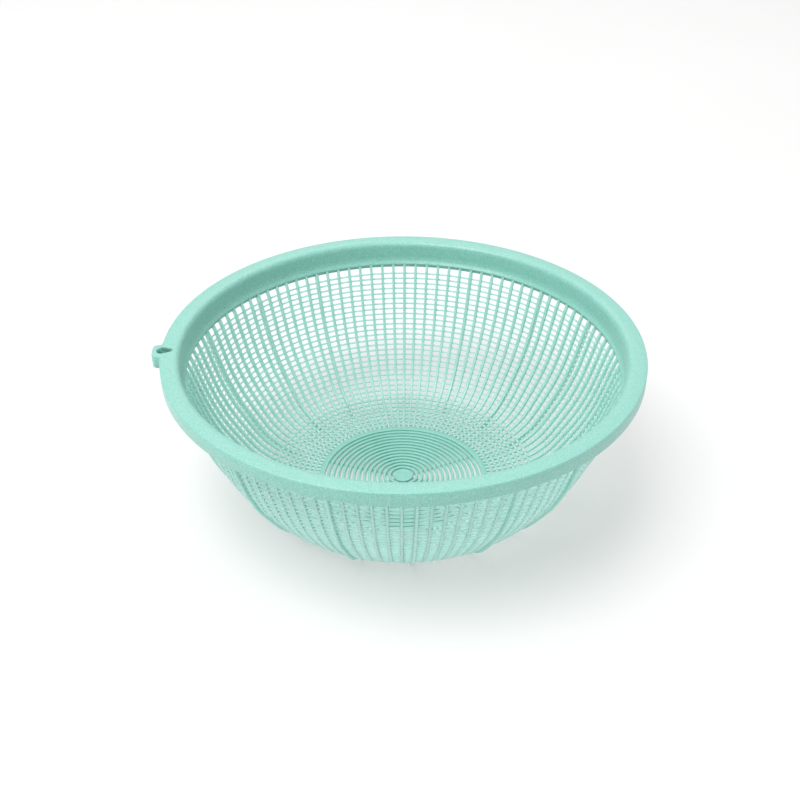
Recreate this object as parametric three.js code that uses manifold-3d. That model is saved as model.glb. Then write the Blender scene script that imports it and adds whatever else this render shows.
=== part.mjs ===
// A round plastic draining basket, moulded in one piece: a hollow rim with a hanging lug, a wall of
// upright ribs crossed by thin hoops, and a flat base of concentric rings. Millimetres, +Z up. The
// basket stands on its feet at z = 0 with its axis on Z, and the hanging lug points along -X.
import * as THREE from 'three';
import { mergeVertices } from 'three/addons/utils/BufferGeometryUtils.js';
import Module from 'manifold-3d';

const wasm = await Module();
wasm.setup();

const GAP = 0.3; // clearance between neighbouring pieces
const EDGE_SHARE = 1 - Math.SQRT1_2; // how far in from the corner a quarter round's middle lies

// Rim: a flange on top with a skirt hanging from its outer edge, open underneath
const RIM_TOP = 97;
const RIM_RADIUS = 135;
const RIM_INNER_RADIUS = 125.2;
const SKIRT_HEIGHT = 8;
const SKIRT_WALL = 1.6;
const FLANGE_THICKNESS = 2.2;
const RIM_OUTER_EDGE = 0.9; // size of the outer edge's rounding
const RIM_INNER_EDGE = 2; // size of the inner edge's rounding
const RIM_FILLET = 0.4;
const RIM_SEGMENTS = 60;

// Hanging lug, measured outwards from the basket's axis
const LUG_HALF_WIDTH = 8;
const LUG_NECK_HALF_WIDTH = 6.3;
const LUG_INNER_RADIUS = 127.6;
const LUG_OUTER_RADIUS = 139.8;
const LUG_TOP = 96.8;
const LUG_NECK_CURVE = 1.6; // how far out from the skirt the lug narrows to its neck
const LUG_TIP_CURVE = 3.2; // how much of each half of the tip is rounded
const LUG_HOLE_RADIUS = 2.9;
const LUG_HOLE_CENTRE = 134.3;
const LUG_HOLE_TIP_RADIUS = 1.3;
const LUG_HOLE_TIP_CENTRE = 130.4;
const LUG_HOLE_LEAN = 0.4; // radians by which the hole's sides lean in towards its tip

// Upper band: a plain wall with a ledge on its inner face, as [radius, height] points
const BAND_LEDGE = [
  [124.6, 87.6],
  [123.9, 85.1],
  [122.6, 83.7],
  [123.0, 82.7],
];
const BAND_FOOT_OUTER_RADIUS = 125.1;
const BAND_BACK = [126.3, 86.5];
const BAND_TOP_INNER_RADIUS = 124.9;
const BAND_TOP_OUTER_RADIUS = 126.9;

// Inner face of the mesh wall as [radius, height, wall thickness], from the upper band to the base band
const WALL = [
  [121.5, 80.6, 2.7],
  [117.4, 67.0, 2.7],
  [110.6, 50.0, 2.7],
  [97.0, 25.6, 2.5],
  [88.5, 14.5, 2.4],
  [79.0, 8.0, 2.2],
  [66.0, 3.9, 2.0],
  [52.3, 2.2, 1.9],
];

// Upright ribs, behind the hoops. The deeper main ribs stand out of the wall and end in feet.
const RIB_COUNT = 104;
const FIRST_RIB_BEARING = 4.2; // degrees clockwise from +Y
const RIB_WIDTH = 1.6;
const RIB_FRONT = 1.1; // depth of a rib's inner edge behind the wall's inner face
const MAIN_RIB_GAPS = [6, 7, 6, 7, 6, 6, 6, 7, 6, 8, 6, 6, 6, 7, 6, 8]; // rib pitches between main ribs
const MAIN_RIB_WIDTH = 1.9;
const MAIN_RIB_EXTRA = 1.3;
const FOOT_INNER_RADIUS = 72.5;
const FOOT_OUTER_RADIUS = 76.5;
const FOOT_CORNER = [1.8, 1.2]; // where the foot's rounded outer corner starts, out from its flat end and up
const TOP_HOOP_HEIGHT = 1.8;

// Thin hoops on the wall's inner face, counted along the wall from its top, and wider ones on the floor
const HOOP_COUNT = 25;
const FIRST_HOOP = 3.9;
const HOOP_PITCH = 3.37;
const HOOP_DEPTH = 0.8;
const HOOP_WIDTH = 1.0;
const FLOOR_HOOP_COUNT = 8;
const FLOOR_HOOP_WIDTH = 1.5;
const HOOP_SEGMENTS = 32;

// Base: a plain band, concentric rings on spokes, and a disc at the centre, on a very shallow cone
const BASE_TOP = 2.2;
const BAND_RADIUS = 52;
const BAND_INNER_RADIUS = 47.75;
const BAND_THICKNESS = 1.7;
const RING_COUNT = 13;
const FIRST_RING_RADIUS = 8.24;
const RING_PITCH = 3.117;
const RING_WIDTH = 1.75;
const RING_TAPER = 0.2;
const RING_HEIGHT = 1.3;
const RING_SEGMENTS = 32;
const SMALL_RING_SEGMENTS = 24; // for the rings in the inner half
const SPOKE_BARS = 4;
const SPOKE_WIDTH = 1.6;
const SPOKE_HEIGHT = 0.9;
const SPOKE_OVERLAP = 0.15; // how far the rings sink into the spokes
const CONE_RISE = 0.7;
const DISC_RADIUS = 6;
const DISC_THICKNESS = 0.75;
const DISC_EDGE = 0.35;

const RIM_COLOR = 0xb1e1d9;
const MESH_COLOR = 0x9ddbc9;
const BASE_COLOR = 0x98d6c8;

const basket = new THREE.Group();

function addPiece(name, geometry, color) {
  const material = new THREE.MeshStandardMaterial({ color, roughness: 0.45, metalness: 0 });
  const mesh = new THREE.Mesh(geometry, material);
  mesh.name = name;
  basket.add(mesh);
  return mesh;
}

function numbered(name, index) {
  return `${name}_${String(index + 1).padStart(2, '0')}`;
}

function solid(geometry) {
  const bare = geometry.clone();
  bare.deleteAttribute('normal');
  bare.deleteAttribute('uv');
  const merged = mergeVertices(bare);
  const mesh = new wasm.Mesh({
    numProp: 3,
    vertProperties: merged.attributes.position.array,
    triVerts: new Uint32Array(merged.index.array),
  });
  return new wasm.Manifold(mesh);
}

function geometryOf(body) {
  const mesh = body.getMesh();
  const geometry = new THREE.BufferGeometry();
  geometry.setAttribute('position', new THREE.BufferAttribute(mesh.vertProperties, 3));
  geometry.setIndex(new THREE.BufferAttribute(mesh.triVerts, 1));
  geometry.computeVertexNormals();
  return geometry;
}

// A ring turned around Z from a section given as [radius, height] points, anticlockwise
function turnedRing(section, segments) {
  const points = [...section, section[0]].map(([radius, height]) => new THREE.Vector2(radius, height));
  return new THREE.LatheGeometry(points, segments).rotateX(Math.PI / 2);
}

// A flat fin on a plane through Z, from an outline of [radius, height] points
function fin(outline, width) {
  const shape = new THREE.Shape(outline.map(([radius, height]) => new THREE.Vector2(radius, height)));
  const geometry = new THREE.ExtrudeGeometry(shape, { depth: width, bevelEnabled: false });
  return geometry.translate(0, 0, -width / 2).rotateX(Math.PI / 2);
}

function ribAngle(index) {
  const bearing = FIRST_RIB_BEARING + (index * 360) / RIB_COUNT;
  return THREE.MathUtils.degToRad(90 - bearing);
}

// Unit vector out of the wall on the stretch that starts at a station
function stretchNormal(station) {
  const [r0, z0] = WALL[station];
  const [r1, z1] = WALL[station + 1];
  const length = Math.hypot(r1 - r0, z1 - z0);
  return [(z0 - z1) / length, (r1 - r0) / length];
}

// The wall's station moved outwards by a depth, mitred where two stretches meet
function stationAt(station, depth) {
  const before = stretchNormal(Math.max(station - 1, 0));
  const after = stretchNormal(Math.min(station, WALL.length - 2));
  const share = depth / (1 + before[0] * after[0] + before[1] * after[1]);
  const [radius, height] = WALL[station];
  return [radius + share * (before[0] + after[0]), height + share * (before[1] + after[1])];
}

// The point at a distance along the wall from its top, moved outwards by a depth
function wallAt(distance, depth) {
  let left = distance;
  for (let station = 0; station < WALL.length - 1; station += 1) {
    const [r0, z0] = WALL[station];
    const [r1, z1] = WALL[station + 1];
    const length = Math.hypot(r1 - r0, z1 - z0);
    if (left <= length || station === WALL.length - 2) {
      const normal = stretchNormal(station);
      const share = left / length;
      return [r0 + share * (r1 - r0) + depth * normal[0], z0 + share * (z1 - z0) + depth * normal[1]];
    }
    left -= length;
  }
  return null;
}

function addRim() {
  const underside = RIM_TOP - FLANGE_THICKNESS;
  const hem = RIM_TOP - SKIRT_HEIGHT;
  const skirtInside = RIM_RADIUS - SKIRT_WALL;
  const section = [
    [RIM_INNER_RADIUS, underside],
    [skirtInside - RIM_FILLET, underside],
    [skirtInside, underside - RIM_FILLET],
    [skirtInside, hem],
    [RIM_RADIUS, hem],
    [RIM_RADIUS, RIM_TOP - RIM_OUTER_EDGE],
    [RIM_RADIUS - RIM_OUTER_EDGE * EDGE_SHARE, RIM_TOP - RIM_OUTER_EDGE * EDGE_SHARE],
    [RIM_RADIUS - RIM_OUTER_EDGE, RIM_TOP],
    [RIM_INNER_RADIUS + RIM_INNER_EDGE, RIM_TOP],
    [RIM_INNER_RADIUS + RIM_INNER_EDGE * EDGE_SHARE, RIM_TOP - RIM_INNER_EDGE * EDGE_SHARE],
    [RIM_INNER_RADIUS, RIM_TOP - RIM_INNER_EDGE],
  ];
  const pocketLength = 20;
  const pocketHeight = 2 * SKIRT_HEIGHT;
  const pocket = new THREE.BoxGeometry(pocketLength, 2 * (LUG_HALF_WIDTH + GAP), pocketHeight);
  pocket.translate(-(LUG_INNER_RADIUS - GAP + pocketLength / 2), 0, hem + pocketHeight / 2 - 1);
  const ring = solid(turnedRing(section, RIM_SEGMENTS));
  addPiece('rim', geometryOf(ring.subtract(solid(pocket))), RIM_COLOR);
}

// Outline of the lug seen from above, with x across it and y out from the basket's axis
function lugOutline(inset, innerRadius) {
  const side = LUG_HALF_WIDTH - inset;
  const neck = LUG_NECK_HALF_WIDTH - inset;
  const tip = LUG_OUTER_RADIUS - inset;
  const shoulder = RIM_RADIUS - inset;
  const shape = new THREE.Shape();
  shape.moveTo(-side, innerRadius);
  shape.lineTo(side, innerRadius);
  shape.lineTo(side, shoulder);
  shape.quadraticCurveTo(neck, shoulder, neck, shoulder + LUG_NECK_CURVE);
  shape.quadraticCurveTo(neck, tip, neck - LUG_TIP_CURVE, tip);
  shape.lineTo(-neck + LUG_TIP_CURVE, tip);
  shape.quadraticCurveTo(-neck, tip, -neck, shoulder + LUG_NECK_CURVE);
  shape.quadraticCurveTo(-neck, shoulder, -side, shoulder);
  return shape;
}

function lugHole() {
  const shape = new THREE.Shape();
  const start = -LUG_HOLE_LEAN;
  const end = Math.PI + LUG_HOLE_LEAN;
  shape.absarc(0, LUG_HOLE_CENTRE, LUG_HOLE_RADIUS, start, end, false);
  shape.absarc(0, LUG_HOLE_TIP_CENTRE, LUG_HOLE_TIP_RADIUS, end, start + 2 * Math.PI, false);
  return shape;
}

function prism(shape, bottom, top) {
  const options = { depth: top - bottom, bevelEnabled: false, curveSegments: 5 };
  return new THREE.ExtrudeGeometry(shape, options).translate(0, 0, bottom);
}

function addHangingLug() {
  const hem = RIM_TOP - SKIRT_HEIGHT;
  const underside = LUG_TOP - FLANGE_THICKNESS;
  const block = solid(prism(lugOutline(0, LUG_INNER_RADIUS), hem, LUG_TOP));
  const hollow = solid(prism(lugOutline(SKIRT_WALL, LUG_INNER_RADIUS - 1), hem - 1, underside));
  const hole = solid(prism(lugHole(), hem - 1, LUG_TOP + 1));
  const lug = addPiece('hanging_lug', geometryOf(block.subtract(hollow).subtract(hole)), RIM_COLOR);
  lug.rotation.z = Math.PI / 2;
}

// Plain wall between the rim and the mesh, with a small ledge on its inner face
function addUpperBand() {
  const top = RIM_TOP - FLANGE_THICKNESS - GAP;
  const bottom = WALL[0][1] + GAP;
  const section = [
    [BAND_LEDGE.at(-1)[0], bottom],
    [BAND_FOOT_OUTER_RADIUS, bottom],
    BAND_BACK,
    [BAND_TOP_OUTER_RADIUS, top],
    [BAND_TOP_INNER_RADIUS, top],
    ...BAND_LEDGE,
  ];
  addPiece('upper_band', turnedRing(section, RIM_SEGMENTS), RIM_COLOR);
}

function ribOutline() {
  const front = [wallAt(TOP_HOOP_HEIGHT / 2, RIB_FRONT + 0.1)];
  const back = [wallAt(TOP_HOOP_HEIGHT / 2, WALL[0][2] - 0.1)];
  for (let station = 1; station < WALL.length; station += 1) {
    front.push(stationAt(station, RIB_FRONT));
    back.push(stationAt(station, WALL[station][2]));
  }
  return [...front, ...back.reverse()];
}

function addRibCage(mainRibs) {
  const topHoop = turnedRing(
    [
      wallAt(TOP_HOOP_HEIGHT, RIB_FRONT),
      wallAt(TOP_HOOP_HEIGHT, WALL[0][2]),
      wallAt(0, WALL[0][2]),
      wallAt(0, RIB_FRONT),
    ],
    RIB_COUNT / 2,
  );
  const rib = fin(ribOutline(), RIB_WIDTH);
  let cage = solid(topHoop);
  for (let index = 0; index < RIB_COUNT; index += 1) {
    if (!mainRibs.includes(index)) {
      cage = cage.add(solid(rib.clone().rotateZ(ribAngle(index))));
    }
  }
  addPiece('rib_cage', geometryOf(cage), MESH_COLOR);
}

// A main rib passes outside the top hoop, follows the wall down to its foot, then crosses the floor
function mainRibOutline() {
  const start = TOP_HOOP_HEIGHT + GAP;
  const front = [wallAt(start, RIB_FRONT)];
  const back = [
    wallAt(start, WALL[0][2] + GAP),
    wallAt(GAP, WALL[0][2] + GAP),
    wallAt(GAP, WALL[0][2] + MAIN_RIB_EXTRA),
  ];
  for (let station = 1; station < WALL.length; station += 1) {
    front.push(stationAt(station, RIB_FRONT));
    const onFloor = WALL[station][0] < FOOT_INNER_RADIUS;
    if (onFloor && WALL[station - 1][0] > FOOT_INNER_RADIUS) {
      const corner = [FOOT_OUTER_RADIUS + FOOT_CORNER[0], FOOT_CORNER[1]];
      back.push(corner, [FOOT_OUTER_RADIUS, 0], [FOOT_INNER_RADIUS, 0]);
    }
    back.push(stationAt(station, WALL[station][2] + (onFloor ? 0 : MAIN_RIB_EXTRA)));
  }
  return [...front, ...back.reverse()];
}

function addMainRibs(mainRibs) {
  mainRibs.forEach((ribIndex, index) => {
    const rib = addPiece(numbered('main_rib', index), fin(mainRibOutline(), MAIN_RIB_WIDTH), MESH_COLOR);
    rib.rotation.z = ribAngle(ribIndex);
  });
}

function addHoops() {
  for (let index = 0; index < HOOP_COUNT; index += 1) {
    const middle = FIRST_HOOP + index * HOOP_PITCH;
    const section = [
      wallAt(middle, 0),
      wallAt(middle + HOOP_WIDTH / 2, HOOP_DEPTH),
      wallAt(middle - HOOP_WIDTH / 2, HOOP_DEPTH),
    ];
    addPiece(numbered('hoop', index), turnedRing(section, HOOP_SEGMENTS), MESH_COLOR);
  }
}

// The hoops on the floor carry on from those on the wall, wider and flat
function addFloorHoops() {
  for (let index = 0; index < FLOOR_HOOP_COUNT; index += 1) {
    const middle = FIRST_HOOP + (HOOP_COUNT + index) * HOOP_PITCH;
    const upper = middle - FLOOR_HOOP_WIDTH / 2;
    const lower = middle + FLOOR_HOOP_WIDTH / 2;
    const section = [
      wallAt(lower, HOOP_DEPTH),
      wallAt(upper, HOOP_DEPTH),
      wallAt(upper, 0),
      wallAt(lower, 0),
    ];
    addPiece(numbered('floor_hoop', index), turnedRing(section, HOOP_SEGMENTS), MESH_COLOR);
  }
}

function addBaseBand() {
  const section = [
    [BAND_INNER_RADIUS, BASE_TOP - BAND_THICKNESS],
    [BAND_RADIUS, BASE_TOP - BAND_THICKNESS],
    [BAND_RADIUS, BASE_TOP],
    [BAND_INNER_RADIUS, BASE_TOP],
  ];
  addPiece('base_band', turnedRing(section, HOOP_SEGMENTS), BASE_COLOR);
}

function coneTop(radius) {
  return BASE_TOP + CONE_RISE * (1 - Math.abs(radius) / BAND_INNER_RADIUS);
}

function baseRing(radius) {
  const top = coneTop(radius);
  const bottom = top - RING_HEIGHT;
  const half = RING_WIDTH / 2;
  const section = [
    [radius - half, bottom],
    [radius + half, bottom],
    [radius + half - RING_TAPER, top],
    [radius - half + RING_TAPER, top],
  ];
  const segments = radius < BAND_INNER_RADIUS / 2 ? SMALL_RING_SEGMENTS : RING_SEGMENTS;
  return turnedRing(section, segments);
}

// A bar right across the base, under the rings and bent to the cone
function spokeBar() {
  const reach = BAND_INNER_RADIUS - GAP;
  const stations = [-reach, 0, reach];
  const top = stations.map((x) => [x, coneTop(x) - RING_HEIGHT + SPOKE_OVERLAP]);
  const bottom = top.map(([x, z]) => [x, z - SPOKE_HEIGHT]);
  return fin([...bottom, ...top.reverse()], SPOKE_WIDTH);
}

function addBaseGrille() {
  const bar = spokeBar();
  let grille = solid(bar);
  for (let index = 1; index < SPOKE_BARS; index += 1) {
    grille = grille.add(solid(bar.clone().rotateZ((index * Math.PI) / SPOKE_BARS)));
  }
  for (let index = 0; index < RING_COUNT; index += 1) {
    grille = grille.add(solid(baseRing(FIRST_RING_RADIUS + index * RING_PITCH)));
  }
  addPiece('base_grille', geometryOf(grille), BASE_COLOR);
}

function addBaseDisc() {
  const bottom = coneTop(0) - RING_HEIGHT + SPOKE_OVERLAP + GAP;
  const top = bottom + DISC_THICKNESS;
  const profile = [
    [0, bottom],
    [DISC_RADIUS, bottom],
    [DISC_RADIUS, top - DISC_EDGE],
    [DISC_RADIUS - DISC_EDGE, top],
    [0, top],
  ].map(([radius, height]) => new THREE.Vector2(radius, height));
  addPiece('base_disc', new THREE.LatheGeometry(profile, SMALL_RING_SEGMENTS).rotateX(Math.PI / 2), BASE_COLOR);
}

function mainRibIndices() {
  let index = 0;
  return MAIN_RIB_GAPS.map((gap) => {
    const here = index;
    index += gap;
    return here;
  });
}

const mainRibs = mainRibIndices();
addRim();
addHangingLug();
addUpperBand();
addRibCage(mainRibs);
addMainRibs(mainRibs);
addHoops();
addFloorHoops();
addBaseBand();
addBaseGrille();
addBaseDisc();

export default basket;
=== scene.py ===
"""A round one-piece plastic draining basket in speckled mint green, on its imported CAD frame. Metres."""
import math

import bmesh
import bpy
import numpy as np
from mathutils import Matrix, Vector


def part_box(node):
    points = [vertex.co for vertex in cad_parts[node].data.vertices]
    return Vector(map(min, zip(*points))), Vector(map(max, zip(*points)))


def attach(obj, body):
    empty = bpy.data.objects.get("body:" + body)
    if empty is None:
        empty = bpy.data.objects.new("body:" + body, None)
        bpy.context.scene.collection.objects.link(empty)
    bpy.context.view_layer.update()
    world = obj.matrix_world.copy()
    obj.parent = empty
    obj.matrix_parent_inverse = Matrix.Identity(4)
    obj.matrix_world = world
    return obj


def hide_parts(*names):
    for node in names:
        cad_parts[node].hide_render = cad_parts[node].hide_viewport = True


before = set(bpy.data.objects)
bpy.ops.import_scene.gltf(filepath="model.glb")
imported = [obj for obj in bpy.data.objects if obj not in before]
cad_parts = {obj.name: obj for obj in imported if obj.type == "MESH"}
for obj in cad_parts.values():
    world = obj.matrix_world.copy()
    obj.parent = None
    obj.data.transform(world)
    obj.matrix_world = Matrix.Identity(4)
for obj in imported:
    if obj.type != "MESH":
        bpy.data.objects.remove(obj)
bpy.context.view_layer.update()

# Rim and lug, from the frame
rim_low, rim_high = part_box("rim")
lug_low, lug_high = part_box("hanging_lug")
band_low, band_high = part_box("base_band")
RIM_TOP = rim_high.z
RIM_RADIUS = rim_high.x
RIM_HEM = rim_low.z
RIM_INNER_RADIUS = 0.1245
RIM_OUTER_EDGE = 0.0009  # how far back from their corners the rim's two top edges are rounded
RIM_INNER_EDGE = 0.0035
SKIRT_WALL = 0.0016
SKIRT_EDGE = 0.0004
SKIRT_FILLET = 0.0012
FLANGE_THICKNESS = 0.0022
LUG_TOP = lug_high.z
LUG_REACH = -lug_low.x
LUG_ROOT = -lug_high.x
LUG_HALF_WIDTH = lug_high.y
LUG_NECK_HALF_WIDTH = 0.0063
LUG_NECK_CURVE = 0.0016  # how far out from the skirt the lug narrows to its neck
LUG_TIP_CURVE = 0.0038  # how much of each half of the tip is rounded
LUG_EDGE = 0.0005
LUG_HEM_EDGE = 0.0003
LUG_HEM_EDGE_HEIGHT = 0.0004
HOLE_RADIUS = 0.0029
HOLE_CENTRE = 0.1343
HOLE_TIP_RADIUS = 0.0013
HOLE_TIP_CENTRE = 0.1304
HOLE_LEAN = 0.4  # radians by which the hole's sides lean in towards its tip
HOLE_EDGE = ((0.0, -0.0007), (0.0002, -0.0003), (0.0011, 0.0006))  # widening, and height from the lug's top
CUT_MARGIN = 0.001  # how far a cutter reaches past the surface that it opens

# Upper band: the stepped ledge at the foot of the rim
CREST = (0.1221, 0.0829)
COVE = (0.1236, 0.0846)
COVE_TOP = (0.1244, 0.0866)
BAND_FOOT_INNER = 0.1232
BAND_FOOT_OUTER = 0.1250
BAND_FOOT_HEIGHT = 0.0804
BAND_FOOT_EDGE = 0.0004
BAND_LIP_HEIGHT = 0.0818  # where the undercut below the crest begins
BAND_BACK = (0.1263, 0.0866)
BAND_BACK_TOP = 0.1270

# Inner face of the mesh wall as (radius, height), from the crest of the band down to the base band
WALL = np.array([
    (0.1226, 0.0836),
    (0.1213, 0.0806),
    (0.1170, 0.0670),
    (0.1112, 0.0500),
    (0.1051, 0.0375),
    (0.0980, 0.0268),
    (0.0925, 0.0193),
    (0.0883, 0.0145),
    (0.0825, 0.0101),
    (0.0770, 0.0071),
    (0.0709, 0.0051),
    (0.0636, 0.0035),
    (0.0570, 0.0026),
    (0.0508, 0.0022),
])

# Upright ribs
RIB_COUNT = 104
FIRST_RIB_BEARING = 4.2  # degrees clockwise from +Y
RIB_WIDTH = 0.0017
RIB_CORNER = 0.22  # of the width
RIB_TAPER = 0.08  # of the width
RIB_ROWS = 64
RIB_DEPTHS = ((0.120, 0.090, 0.085, 0.066, 0.054), (0.0023, 0.0022, 0.0020, 0.0018, 0.0017))  # by radius
MAIN_RIB_GAPS = (6, 7, 6, 7, 6, 6, 6, 7, 6, 8, 6, 6, 6, 7, 6, 8)  # rib pitches between main ribs
MAIN_RIB_WIDTH = 0.0018
MAIN_RIB_EXTRA = 0.0014
FOOT_RADII = (0.0770, 0.0745, 0.0712, 0.0696)  # on the wall: where the foot starts, is down, ends, is gone
FOOT_MARGIN = 0.001
FOOT_ROWS = 30
FOOT_CLEARANCE = 0.00003
STEEPEST_FOOT = 0.2  # the least downward part of the wall's normal that a foot is worked out with

# Hoops on the wall, and wider ones on the floor at the same pitch
HOOP_COUNT = 25
FIRST_HOOP = 0.0071
HOOP_PITCH = 0.00337
HOOP_WIDTH = 0.0011
HOOP_CORNER = 0.25  # of the width
HOOP_FRONT = 0.0010
HOOP_BACK = 0.0020
FLOOR_HOOP_COUNT = 8
FLOOR_HOOP_WIDTH = 0.0015
FLOOR_HOOP_DEPTH = 0.0013

# Base, on a very shallow cone
SMALL_EDGE = 0.0003
BASE_TOP = band_high.z
BAND_RADIUS = band_high.x - 0.0008  # a little inside the CAD's band
BAND_INNER_RADIUS = 0.04775
RING_COUNT = 13
FIRST_RING_RADIUS = 0.00824
RING_PITCH = 0.003117
RING_WIDTH = 0.00185
RING_HEIGHT = 0.0015
RING_EDGE = 0.00035
RING_TAPER = 0.0001
CONE_RISE = 0.0007
SPOKE_BARS = 4
SPOKE_WIDTH = 0.0016
SPOKE_HEIGHT = 0.0006
SPOKE_ROWS = 25
SPOKE_REACH = 0.0005  # how far the spokes run into the base band
SPOKE_OVERLAP = 0.0001  # how far the rings sink into the spokes
DISC_RADIUS = 0.0060
DISC_EDGE = 0.0005
DISC_DIP = (  # (radius, depth below the disc's top), inwards from its raised edge
    (0.0050, 0.0),
    (0.0042, 0.00018),
    (0.0033, 0.00028),
    (0.0024, 0.00018),
    (0.0016, 0.00004),
)
DISC_MIDDLE = 0.00002  # radius of the pinhole on the axis, where the turned shape would meet itself

TURN_STEPS = 312  # points round a full turn, three to each rib pitch
SHARP_ANGLE = 50  # degrees above which an edge is shaded sharp
CUT_SHARP_ANGLE = 40

# Camera: where it stands around and above the rim, as in the reference view
CAMERA_BEARING = 183.9
CAMERA_DISTANCE = 0.540
CAMERA_RISE = 0.3274
CAMERA_PITCH = 34.18
CAMERA_YAW = 0.206
CAMERA_LENS = 50.6
SENSOR_WIDTH = 36

# Floor and light
FLOOR_REACH = 6.0
FLOOR_DROP = 0.0001
MIDDLE = (0, 0, 0.05)  # the point that the softboxes face
WORLD_STRENGTH = 0.66
FLOOR_PALE = (200, 200, 199)
FLOOR_PALER = (204, 204, 204)
FLOOR_GLOW = 0.27
BACK_POWER = 6
BACK_SIZE = 1.4
BACK_ELEVATION = 50
BACK_DISTANCE = 2.0
KEY_POWER = 42
KEY_SIZE = 1.6
KEY_BEARING = 232
KEY_ELEVATION = 66
KEY_DISTANCE = 2.4


# ---------------------------------------------------------------- shapes

def mesh_object(name, points, faces, slot, nodes):
    """A closed mesh piece with smooth faces and sharp corners, standing for the named CAD nodes."""
    mesh = bpy.data.meshes.new(name)
    mesh.from_pydata(points, [], faces)
    work = bmesh.new()
    work.from_mesh(mesh)
    bmesh.ops.recalc_face_normals(work, faces=work.faces)
    work.to_mesh(mesh)
    work.free()
    mesh.shade_smooth()
    mesh.set_sharp_from_angle(angle=math.radians(SHARP_ANGLE))
    piece = bpy.data.objects.new(name, mesh)
    bpy.context.scene.collection.objects.link(piece)
    piece.data.materials.append(MATERIALS[slot])
    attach(piece, "root")
    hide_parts(*nodes)
    return piece


def grid_faces(rows, columns, start, wrap_rows):
    """Quads over a grid of rows of points, each row a closed loop, with caps unless the rows wrap too."""
    faces = []
    for i in range(rows if wrap_rows else rows - 1):
        a = start + i * columns
        b = start + (i + 1) % rows * columns
        for j in range(columns):
            k = (j + 1) % columns
            faces.append((a + j, a + k, b + k, b + j))
    if not wrap_rows:
        faces.append(tuple(start + j for j in range(columns)))
        faces.append(tuple(start + (rows - 1) * columns + j for j in reversed(range(columns))))
    return faces


def join_grids(grids, wrap_rows):
    """Points and faces of several grids, each an array of rows by columns by 3."""
    points = np.concatenate([g.reshape(-1, 3) for g in grids])
    faces = []
    start = 0
    for g in grids:
        faces += grid_faces(g.shape[0], g.shape[1], start, wrap_rows)
        start += g.shape[0] * g.shape[1]
    return points, faces


def rounded_box(half_width, low, high, corner, taper=0.0):
    """A rectangle with round corners as (across, along) points. The high side is narrower by the taper."""
    points = []
    for side, level, turn in ((1, high, 0), (-1, high, 90), (-1, low, 180), (1, low, 270)):
        half = half_width - (taper if level == high else 0.0)
        centre = (side * (half - corner), level - math.copysign(corner, level - (low + high) / 2))
        for step in (0, 45, 90):
            angle = math.radians(turn + step)
            points.append((centre[0] + corner * math.cos(angle), centre[1] + corner * math.sin(angle)))
    return np.array(points)


def round_corners(corners, steps=5):
    """A closed outline from (x, y, radius) corners, each rounded by a quadratic curve."""
    outline = []
    count = len(corners)
    for i, (x, y, radius) in enumerate(corners):
        here = np.array((x, y))
        before = np.array(corners[i - 1][:2])
        after = np.array(corners[(i + 1) % count][:2])
        start = here + (before - here) / np.linalg.norm(before - here) * radius
        end = here + (after - here) / np.linalg.norm(after - here) * radius
        for t in np.linspace(0, 1, steps):
            outline.append((1 - t) ** 2 * start + 2 * t * (1 - t) * here + t ** 2 * end)
    return np.array(outline)


def turned(section):
    """A section of (radius, height) points turned round Z."""
    angles = np.linspace(0, 2 * np.pi, TURN_STEPS, endpoint=False)
    radius = section[:, 0]
    height = np.broadcast_to(section[:, 1], (TURN_STEPS, len(section)))
    return np.stack([np.outer(np.sin(angles), radius), np.outer(np.cos(angles), radius), height], axis=2)


def smooth_through(stations, per_stretch=24):
    """A smooth curve through the stations, with the tangent at each one from its neighbours."""
    chords = np.linalg.norm(np.diff(stations, axis=0), axis=1)
    at = np.concatenate([[0], np.cumsum(chords)])
    slopes = np.gradient(stations, at, axis=0)
    curve = []
    for i, chord in enumerate(chords):
        t = np.linspace(0, 1, per_stretch, endpoint=False)[:, None]
        curve.append(
            (2 * t ** 3 - 3 * t ** 2 + 1) * stations[i]
            + (t ** 3 - 2 * t ** 2 + t) * chord * slopes[i]
            + (3 * t ** 2 - 2 * t ** 3) * stations[i + 1]
            + (t ** 3 - t ** 2) * chord * slopes[i + 1]
        )
    return np.concatenate([*curve, stations[-1:]])


class Wall:
    """The inner face of the mesh wall as a smooth curve, read by distance from its top."""

    def __init__(self):
        self.curve = smooth_through(WALL)
        self.along = np.concatenate([[0], np.cumsum(np.linalg.norm(np.diff(self.curve, axis=0), axis=1))])
        tangent = np.gradient(self.curve, self.along, axis=0)
        tangent /= np.linalg.norm(tangent, axis=1)[:, None]
        self.normal = np.stack([-tangent[:, 1], tangent[:, 0]], axis=1)
        self.length = self.along[-1]

    def at(self, distance):
        """Radius and height, and the outward normal's two parts, at a distance or an array of them."""
        columns = (self.curve[:, 0], self.curve[:, 1], self.normal[:, 0], self.normal[:, 1])
        return [np.interp(distance, self.along, c) for c in columns]

    def where_radius(self, radius):
        return np.interp(-radius, -self.curve[:, 0], self.along)


def rib_bearing(index):
    return math.radians(FIRST_RIB_BEARING + index * 360 / RIB_COUNT)


def rib_grid(wall, index, distances, backs, width):
    """A rib's rows of points: a rounded section at each distance along the wall, from its face to a depth."""
    radius, height, out, down = wall.at(distances)
    bearing = rib_bearing(index)
    radial = np.array((math.sin(bearing), math.cos(bearing), 0))
    across = np.array((math.cos(bearing), -math.sin(bearing), 0))
    rows = []
    for r, z, nr, nz, back in zip(radius, height, out, down, backs):
        section = rounded_box(width / 2, 0.0, back, width * RIB_CORNER, taper=width * RIB_TAPER)
        centre = radial * r + np.array((0, 0, z))
        normal = radial * nr + np.array((0, 0, nz))
        rows.append(centre + section[:, :1] * across + section[:, 1:] * normal)
    return np.array(rows)


def main_rib_indices():
    return [sum(MAIN_RIB_GAPS[:i]) for i in range(len(MAIN_RIB_GAPS))]


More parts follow.
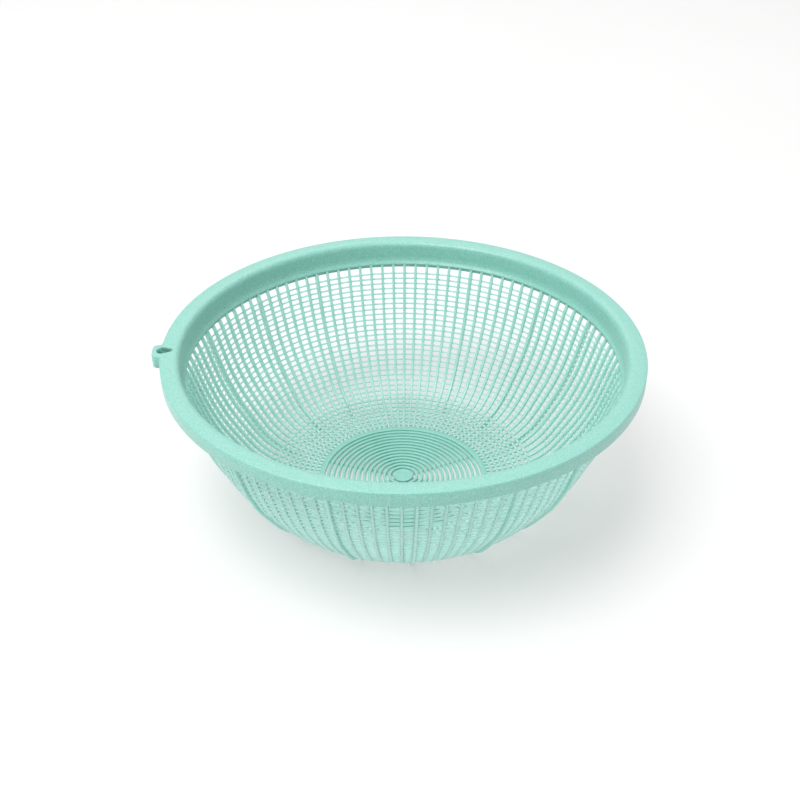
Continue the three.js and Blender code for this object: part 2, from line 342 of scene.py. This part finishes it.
def rib_depths(wall, distances):
    radius = wall.at(distances)[0]
    radii, depths = RIB_DEPTHS
    return np.interp(-radius, [-r for r in radii], depths)


def build_fine_ribs(wall):
    distances = np.linspace(0, wall.length, RIB_ROWS)
    backs = rib_depths(wall, distances)
    main = main_rib_indices()
    grids = [rib_grid(wall, i, distances, backs, RIB_WIDTH) for i in range(RIB_COUNT) if i not in main]
    mesh_object("fine_ribs", *join_grids(grids, False), "mint_mesh", ["rib_cage"])


def build_main_ribs(wall):
    foot = [wall.where_radius(r) for r in FOOT_RADII]
    around_foot = np.linspace(foot[0] - FOOT_MARGIN, foot[3] + FOOT_MARGIN, FOOT_ROWS)
    distances = np.unique(np.concatenate([np.linspace(0, wall.length, RIB_ROWS), around_foot]))
    _, height, _, down = wall.at(distances)
    to_ground = (height - FOOT_CLEARANCE) / np.maximum(-down, STEEPEST_FOOT)
    extra = np.interp(distances, (0, foot[2], foot[3]), (MAIN_RIB_EXTRA, MAIN_RIB_EXTRA, 0))
    on_foot = np.interp(distances, foot, (0, 1, 1, 0))
    backs = (rib_depths(wall, distances) + extra) * (1 - on_foot) + to_ground * on_foot
    for number, index in enumerate(main_rib_indices(), 1):
        grid = rib_grid(wall, index, distances, backs, MAIN_RIB_WIDTH)
        node = f"main_rib_{number:02d}"
        mesh_object(f"{node}_moulded", *join_grids([grid], False), "mint_mesh", [node])


def hoop_section(wall, distance, section):
    radius, height, out, down = wall.at(distance)
    along = np.array((down, -out))
    return np.array((radius, height)) + section[:, :1] * along + section[:, 1:] * np.array((out, down))


def build_hoops(wall, prefix, count, first, section):
    for number in range(1, count + 1):
        outline = hoop_section(wall, first + (number - 1) * HOOP_PITCH, section)
        node = f"{prefix}_{number:02d}"
        mesh_object(f"{node}_moulded", *join_grids([turned(outline)], True), "mint_mesh", [node])


def cut(piece, cutter_points, cutter_faces):
    """Cuts a closed shape out of a piece and keeps the result as the piece's own mesh."""
    mesh = bpy.data.meshes.new("cutter")
    mesh.from_pydata(cutter_points, [], cutter_faces)
    work = bmesh.new()
    work.from_mesh(mesh)
    bmesh.ops.recalc_face_normals(work, faces=work.faces)
    work.to_mesh(mesh)
    work.free()
    cutter = bpy.data.objects.new("cutter", mesh)
    bpy.context.scene.collection.objects.link(cutter)
    modifier = piece.modifiers.new("cut", "BOOLEAN")
    modifier.operation = "DIFFERENCE"
    modifier.solver = "EXACT"
    modifier.object = cutter
    result = bpy.data.meshes.new_from_object(piece.evaluated_get(bpy.context.evaluated_depsgraph_get()))
    piece.modifiers.clear()
    old = piece.data
    piece.data = result
    result.name = old.name
    bpy.data.objects.remove(cutter)
    bpy.data.meshes.remove(mesh)
    result.shade_smooth()
    result.set_sharp_from_angle(angle=math.radians(CUT_SHARP_ANGLE))


def quadratic(start, middle, end, steps=7):
    t = np.linspace(0, 1, steps)[:, None]
    return (1 - t) ** 2 * np.array(start) + 2 * t * (1 - t) * np.array(middle) + t ** 2 * np.array(end)


def lug_outline(inset):
    """The lug from above as (across, out) points, with x across it and y out from the basket's axis."""
    side = LUG_HALF_WIDTH - inset
    neck = LUG_NECK_HALF_WIDTH - inset
    shoulder = RIM_RADIUS - inset
    bend = shoulder + LUG_NECK_CURVE
    tip = LUG_REACH - inset
    right = np.concatenate([
        [(side, LUG_ROOT)],
        quadratic((side, shoulder), (neck, shoulder), (neck, bend)),
        quadratic((neck, bend), (neck, tip), (neck - LUG_TIP_CURVE, tip))[1:],
    ])
    left = right[::-1] * np.array((-1, 1))
    return np.concatenate([right, left])


def hole_outline(outset):
    """The drop-shaped hook hole, round at the outer end and narrow towards the basket."""
    outer = np.linspace(-HOLE_LEAN, math.pi + HOLE_LEAN, 20)
    inner = np.linspace(math.pi + HOLE_LEAN, 2 * math.pi - HOLE_LEAN, 10)
    big = HOLE_RADIUS + outset
    small = HOLE_TIP_RADIUS + outset
    return np.concatenate([
        np.stack([big * np.cos(outer), HOLE_CENTRE + big * np.sin(outer)], axis=1),
        np.stack([small * np.cos(inner), HOLE_TIP_CENTRE + small * np.sin(inner)], axis=1),
    ])


def stacked(levels):
    """Rows of a closed shape from (outline, height) pairs given across and out, placed on the -X side."""
    rows = [np.stack([-o[:, 1], o[:, 0], np.full(len(o), z)], axis=1) for o, z in levels]
    return join_grids([np.array(rows)], False)


def hook_hole_cutter():
    """The hook hole right through the lug, widening at the top to a rounded edge."""
    straight = [(hole_outline(0), RIM_HEM - 2 * CUT_MARGIN)]
    return stacked(straight + [(hole_outline(wider), LUG_TOP + rise) for wider, rise in HOLE_EDGE])


def build_rim():
    """The rim's flange and skirt with the plain band and its ledge below, turned as one section."""
    underside = RIM_TOP - FLANGE_THICKNESS
    skirt_inside = RIM_RADIUS - SKIRT_WALL
    outline = round_corners([
        (BAND_FOOT_INNER, BAND_FOOT_HEIGHT, SMALL_EDGE),
        (BAND_FOOT_INNER - 0.0001, BAND_LIP_HEIGHT, BAND_FOOT_EDGE),
        (*CREST, BAND_FOOT_EDGE),
        (*COVE, 0.0010),
        (*COVE_TOP, 0.0013),
        (RIM_INNER_RADIUS - 0.0001, RIM_TOP, RIM_INNER_EDGE),
        (RIM_RADIUS, RIM_TOP, RIM_OUTER_EDGE),
        (RIM_RADIUS, RIM_HEM, SKIRT_EDGE),
        (skirt_inside, RIM_HEM, SKIRT_EDGE),
        (skirt_inside, underside, SKIRT_FILLET),
        (BAND_BACK_TOP, underside, 0.0010),
        (*BAND_BACK, 0.0012),
        (BAND_FOOT_OUTER, BAND_FOOT_HEIGHT, BAND_FOOT_EDGE),
    ])
    rim = mesh_object(
        "rim_shell", *join_grids([turned(outline)], True), "speckled_rim", ["rim", "upper_band"]
    )
    cut(rim, *hook_hole_cutter())


def build_lug():
    """The lug outside the skirt, hollow from below like the rim, with the hook hole through it."""
    lug = mesh_object(
        "hanging_lug_shell",
        *stacked([
            (lug_outline(LUG_HEM_EDGE), RIM_HEM),
            (lug_outline(0), RIM_HEM + LUG_HEM_EDGE_HEIGHT),
            (lug_outline(0), LUG_TOP - LUG_EDGE),
            (lug_outline(LUG_EDGE * 0.3), LUG_TOP - LUG_EDGE * 0.3),
            (lug_outline(LUG_EDGE), LUG_TOP),
        ]),
        "speckled_rim",
        ["hanging_lug"],
    )
    hollow = lug_outline(SKIRT_WALL)
    at_root = hollow[:, 1] <= LUG_ROOT + CUT_MARGIN
    hollow[:, 1] = np.where(at_root, LUG_ROOT - CUT_MARGIN, hollow[:, 1])
    cut(lug, *stacked([(hollow, RIM_HEM - CUT_MARGIN), (hollow, LUG_TOP - FLANGE_THICKNESS)]))
    cut(lug, *hook_hole_cutter())


def cone_top(radius):
    """Height of the base's top at a radius, on its shallow cone."""
    return BASE_TOP + CONE_RISE * (1 - abs(radius) / BAND_INNER_RADIUS)


def build_base_band():
    middle = (BAND_RADIUS + BAND_INNER_RADIUS) / 2
    section = rounded_box((BAND_RADIUS - BAND_INNER_RADIUS) / 2, band_low.z, band_high.z, SMALL_EDGE)
    section[:, 0] += middle
    mesh_object("base_band_moulded", *join_grids([turned(section)], True), "mint_base", ["base_band"])


def spoke_grid(turn):
    """A bar right across the base under the rings, bent to the cone."""
    reach = BAND_INNER_RADIUS + SPOKE_REACH
    section = rounded_box(SPOKE_WIDTH / 2, 0.0, SPOKE_HEIGHT, SMALL_EDGE)
    along = np.array((math.sin(turn), math.cos(turn), 0))
    across = np.array((math.cos(turn), -math.sin(turn), 0))
    rows = []
    for x in np.linspace(-reach, reach, SPOKE_ROWS):
        base = cone_top(x) - RING_HEIGHT - SPOKE_HEIGHT + SPOKE_OVERLAP
        centre = along * x + np.array((0, 0, base))
        rows.append(centre + section[:, :1] * across + section[:, 1:] * np.array((0, 0, 1)))
    return np.array(rows)


def build_base_grille():
    rings = []
    for index in range(RING_COUNT):
        radius = FIRST_RING_RADIUS + index * RING_PITCH
        top = cone_top(radius)
        section = rounded_box(RING_WIDTH / 2, top - RING_HEIGHT, top, RING_EDGE, taper=RING_TAPER)
        section[:, 0] += radius
        rings.append(turned(section))
    ring_points, ring_faces = join_grids(rings, True)
    bars = [spoke_grid(math.pi * (i + 0.5) / SPOKE_BARS) for i in range(SPOKE_BARS)]
    bar_points, bar_faces = join_grids(bars, False)
    offset = len(ring_points)
    points = np.concatenate([ring_points, bar_points])
    faces = ring_faces + [tuple(v + offset for v in face) for face in bar_faces]
    mesh_object("base_rings", points, faces, "mint_base", ["base_grille"])


def build_base_disc():
    """The solid middle, with a raised edge and a shallow dip inside it."""
    top = cone_top(0)
    bottom = top - RING_HEIGHT
    outline = [
        (DISC_MIDDLE, bottom),
        (DISC_RADIUS - SMALL_EDGE, bottom),
        (DISC_RADIUS, bottom + SMALL_EDGE),
    ]
    for angle in np.linspace(0, math.pi / 2, 6):
        radius = DISC_RADIUS - DISC_EDGE * (1 - math.cos(angle))
        outline.append((radius, top - DISC_EDGE + DISC_EDGE * math.sin(angle)))
    outline += [(radius, top - depth) for radius, depth in DISC_DIP]
    outline.append((DISC_MIDDLE, top))
    mesh_object(
        "base_disc_moulded", *join_grids([turned(np.array(outline))], True), "mint_base", ["base_disc"]
    )


# ---------------------------------------------------------------- materials

def srgb(red, green, blue):
    """An 8-bit sRGB colour as linear RGBA."""
    shares = (red / 255, green / 255, blue / 255)
    linear = [c / 12.92 if c <= 0.04045 else ((c + 0.055) / 1.055) ** 2.4 for c in shares]
    return (*linear, 1.0)


class Shader:
    """A small helper that adds and joins nodes in one material."""

    def __init__(self, name):
        self.material = bpy.data.materials.new(name)
        self.material.use_nodes = True
        self.tree = self.material.node_tree
        self.surface = self.tree.nodes["Principled BSDF"]
        self.coords = self.add("ShaderNodeTexCoord").outputs["Object"]

    def add(self, kind, settings=(), values=()):
        made = self.tree.nodes.new(kind)
        for key, value in dict(settings).items():
            setattr(made, key, value)
        for key, value in dict(values).items():
            if isinstance(value, bpy.types.NodeSocket):
                self.tree.links.new(value, made.inputs[key])
            else:
                made.inputs[key].default_value = value
        return made

    def noise(self, scale, detail):
        values = {"Vector": self.coords, "Scale": scale, "Detail": detail, "Roughness": 0.6}
        return self.add("ShaderNodeTexNoise", values=values).outputs["Fac"]

    def ramp(self, value, low, high, to_low=0.0, to_high=1.0):
        values = {"Value": value, "From Min": low, "From Max": high, "To Min": to_low, "To Max": to_high}
        return self.add("ShaderNodeMapRange", values=values).outputs["Result"]

    def mix(self, amount, first, second):
        made = self.add("ShaderNodeMix", {"data_type": "RGBA"}, {"Factor": amount})
        for socket, value in ((made.inputs[6], first), (made.inputs[7], second)):
            if isinstance(value, bpy.types.NodeSocket):
                self.tree.links.new(value, socket)
            else:
                socket.default_value = value
        return made.outputs[2]

    def join(self, value, key):
        self.tree.links.new(value, self.surface.inputs[key])


def moulded_plastic(name, base, pale, deep, flecks, spread, depth):
    """Mint polypropylene with soft mottling, fine pale flecks and a satin moulded skin.

    Spread is the share of light that passes into the plastic, and depth is how far it goes.
    """
    shader = Shader(name)
    color = shader.mix(shader.ramp(shader.noise(300, 3), 0.35, 0.65), deep, base)
    color = shader.mix(shader.ramp(shader.noise(1300, 2), 0.42, 0.68, 0.0, flecks), color, pale)
    shader.join(color, "Base Color")
    shader.join(shader.ramp(shader.noise(420, 3), 0.3, 0.7, 0.34, 0.48), "Roughness")
    height = shader.add("ShaderNodeMath", {"operation": "ADD"}, {
        0: shader.noise(1400, 3),
        1: shader.ramp(shader.noise(120, 2), 0.0, 1.0, 0.0, 1.6),
    }).outputs[0]
    bump = shader.add("ShaderNodeBump", values={"Height": height, "Strength": 0.25, "Distance": 0.00008})
    shader.join(bump.outputs["Normal"], "Normal")
    surface = shader.surface
    surface.inputs["Subsurface Weight"].default_value = spread
    surface.inputs["Subsurface Radius"].default_value = (0.8, 1.0, 0.95)
    surface.inputs["Subsurface Scale"].default_value = depth
    surface.inputs["IOR"].default_value = 1.49
    surface.inputs["Specular IOR Level"].default_value = 0.85
    surface.inputs["Sheen Weight"].default_value = 0.2
    surface.inputs["Sheen Roughness"].default_value = 0.5
    return shader.material


MATERIALS = {
    "speckled_rim": moulded_plastic(
        "speckled_mint_rim", base=srgb(127, 192, 178), pale=srgb(156, 211, 201), deep=srgb(118, 186, 171),
        flecks=0.8, spread=0.3, depth=0.001,
    ),
    # The mesh's colours are a paler copy of the rim's plastic. This is painted light: the thin bars are
    # painted lighter to stand for light that falls on them and passes through them.
    "mint_mesh": moulded_plastic(
        "mint_mesh_plastic_painted_lighter", base=srgb(162, 209, 199), pale=srgb(180, 222, 213), deep=srgb(152, 202, 191),
        flecks=0.5, spread=0.9, depth=0.004,
    ),
    "mint_base": moulded_plastic(
        "mint_base_plastic", base=srgb(130, 192, 180), pale=srgb(150, 204, 194), deep=srgb(124, 187, 174),
        flecks=0.5, spread=0.6, depth=0.002,
    ),
}


# ---------------------------------------------------------------- stage, lights and camera

def build_floor():
    """A plain pale floor that gives off a little even light of its own."""
    mesh = bpy.data.meshes.new("floor")
    reach = FLOOR_REACH
    corners = [(-reach, -reach, 0), (reach, -reach, 0), (reach, reach, 0), (-reach, reach, 0)]
    mesh.from_pydata(corners, [], [(0, 1, 2, 3)])
    floor = bpy.data.objects.new("floor", mesh)
    bpy.context.scene.collection.objects.link(floor)
    floor.location.z = -FLOOR_DROP
    shader = Shader("floor_white")
    shader.join(shader.mix(shader.noise(3, 2), srgb(*FLOOR_PALE), srgb(*FLOOR_PALER)), "Base Color")
    shader.surface.inputs["Emission Color"].default_value = (1.0, 1.0, 1.0, 1.0)
    shader.surface.inputs["Emission Strength"].default_value = FLOOR_GLOW
    shader.surface.inputs["Roughness"].default_value = 0.9
    floor.data.materials.append(shader.material)


def area_light(name, energy, size, location, target):
    light = bpy.data.lights.new(name, "AREA")
    light.energy = energy
    light.shape = "DISK"
    light.size = size
    lamp = bpy.data.objects.new(name, light)
    lamp.location = location
    lamp.rotation_mode = "QUATERNION"
    lamp.rotation_quaternion = (Vector(target) - Vector(location)).to_track_quat("-Z", "Y")
    bpy.context.scene.collection.objects.link(lamp)


def from_angles(bearing, elevation, distance):
    """A place around the basket, from a bearing clockwise from +Y and an elevation, both in degrees."""
    turn, rise = math.radians(bearing), math.radians(elevation)
    flat = distance * math.cos(rise)
    return flat * math.sin(turn), flat * math.cos(turn), distance * math.sin(rise)


def build_lights():
    world = bpy.data.worlds.new("studio")
    world.use_nodes = True
    background = world.node_tree.nodes["Background"]
    background.inputs["Color"].default_value = (1.0, 1.0, 1.0, 1.0)
    background.inputs["Strength"].default_value = WORLD_STRENGTH
    bpy.context.scene.world = world
    key_place = from_angles(KEY_BEARING, KEY_ELEVATION, KEY_DISTANCE)
    back_place = from_angles(0, BACK_ELEVATION, BACK_DISTANCE)
    area_light("key_softbox", KEY_POWER, KEY_SIZE, key_place, MIDDLE)
    area_light("back_softbox", BACK_POWER, BACK_SIZE, back_place, MIDDLE)
    bpy.context.scene.view_settings.view_transform = "Standard"


def build_camera():
    bearing = math.radians(CAMERA_BEARING)
    heading = bearing + math.pi - math.radians(CAMERA_YAW)
    pitch = math.radians(CAMERA_PITCH)
    forward = Vector((
        math.sin(heading) * math.cos(pitch),
        math.cos(heading) * math.cos(pitch),
        -math.sin(pitch),
    ))
    data = bpy.data.cameras.new("camera")
    data.lens = CAMERA_LENS
    data.sensor_width = SENSOR_WIDTH
    data.clip_start = 0.01
    camera = bpy.data.objects.new("camera", data)
    camera.location = (
        CAMERA_DISTANCE * math.sin(bearing),
        CAMERA_DISTANCE * math.cos(bearing),
        RIM_TOP + CAMERA_RISE,
    )
    camera.rotation_mode = "QUATERNION"
    camera.rotation_quaternion = forward.to_track_quat("-Z", "Y")
    bpy.context.scene.collection.objects.link(camera)
    bpy.context.scene.camera = camera


mesh_wall = Wall()
build_camera()
build_lights()
build_floor()
build_rim()
build_lug()
build_fine_ribs(mesh_wall)
build_main_ribs(mesh_wall)
build_hoops(
    mesh_wall, "hoop", HOOP_COUNT, FIRST_HOOP,
    rounded_box(HOOP_WIDTH / 2, HOOP_FRONT, HOOP_BACK, HOOP_WIDTH * HOOP_CORNER),
)
build_hoops(
    mesh_wall, "floor_hoop", FLOOR_HOOP_COUNT, FIRST_HOOP + HOOP_COUNT * HOOP_PITCH,
    rounded_box(FLOOR_HOOP_WIDTH / 2, 0.0, FLOOR_HOOP_DEPTH, SMALL_EDGE),
)
build_base_band()
build_base_grille()
build_base_disc()
